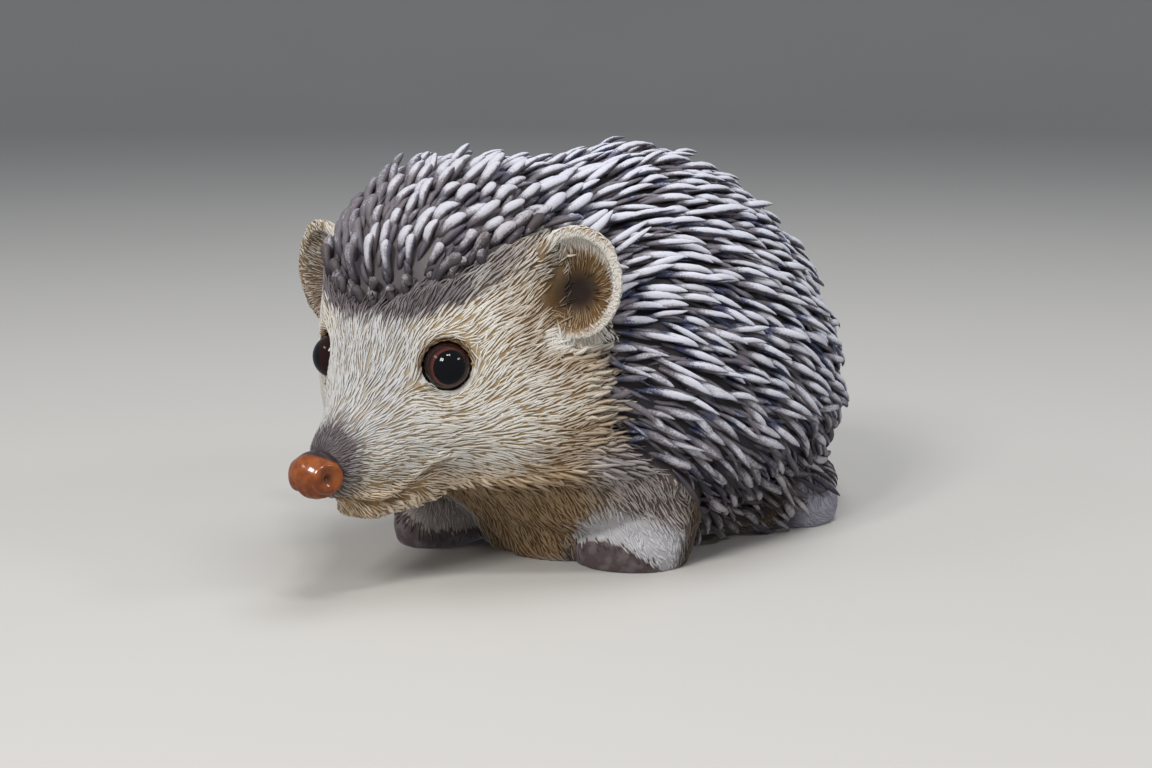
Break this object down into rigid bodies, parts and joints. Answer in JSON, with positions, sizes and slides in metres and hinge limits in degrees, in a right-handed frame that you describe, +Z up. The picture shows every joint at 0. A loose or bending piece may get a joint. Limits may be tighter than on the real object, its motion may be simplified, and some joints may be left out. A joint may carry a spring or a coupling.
{
  "type": "hedgehog figurine",
  "caption": "Painted resin garden ornament of a crouching hedgehog, head turned to its left, with moulded spines, carved fur and glossy nose and eyes.",
  "frame": {"origin": "on the floor under the middle of the bounding box", "axes": "-Y is the way the body faces, +X is the animal's left, +Z is up"},
  "size_m": [0.1276, 0.2076, 0.1204],
  "materials": {
    "spines": "near-black resin, dry-brushed off-white on the raised spines",
    "fur": "cream resin with an ochre wash in the carved strokes, slight sheen",
    "paw": "off-white over ochre, toes brushed purple-brown",
    "nose": "orange-brown under clear varnish",
    "eye": "glossy black dome with a thin red-brown ring"
  },
  "bodies": {
    "root": {"trunk": "spines", "tail": "spines", "head": "fur", "ear_left": "fur", "ear_right": "fur", "foreleg_left": "paw", "foreleg_right": "paw", "hindfoot_left": "paw", "hindfoot_right": "paw", "nose": "nose", "eye_left": "eye", "eye_right": "eye"}
  },
  "joints": []
}
